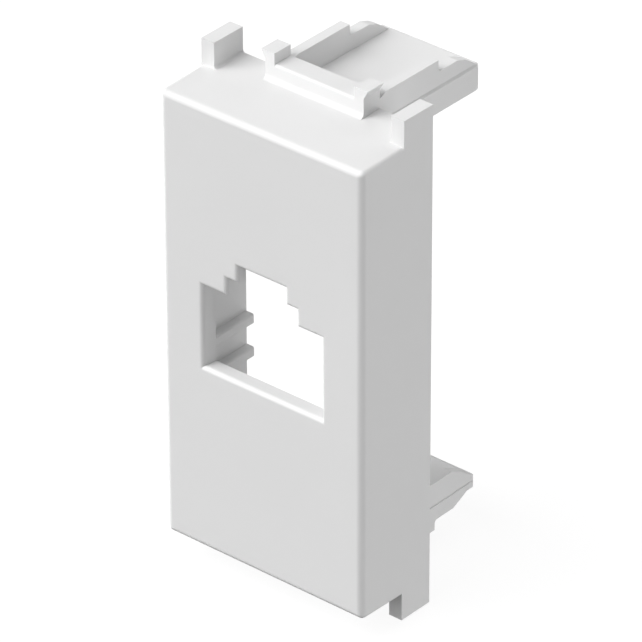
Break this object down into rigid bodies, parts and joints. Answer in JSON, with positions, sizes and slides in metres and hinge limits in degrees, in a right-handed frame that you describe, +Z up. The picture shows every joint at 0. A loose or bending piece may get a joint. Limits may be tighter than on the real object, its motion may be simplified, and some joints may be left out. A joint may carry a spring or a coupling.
{
  "type": "keystone adapter",
  "caption": "One-module plastic insert with a stepped window that holds a keystone jack and snaps into a wiring frame by a sprung latch at the top and bottom.",
  "frame": {"origin": "centre of the plane of the stop ears' front faces, where the insert seats on the wiring frame", "axes": "+Z up along the long side of the face, -Y out of the face towards the viewer, +X to the right"},
  "size_m": [0.0226, 0.0228, 0.0508],
  "materials": {
    "white_plastic": "satin"
  },
  "bodies": {
    "root": {"adapter_body": "white_plastic"}
  },
  "joints": []
}
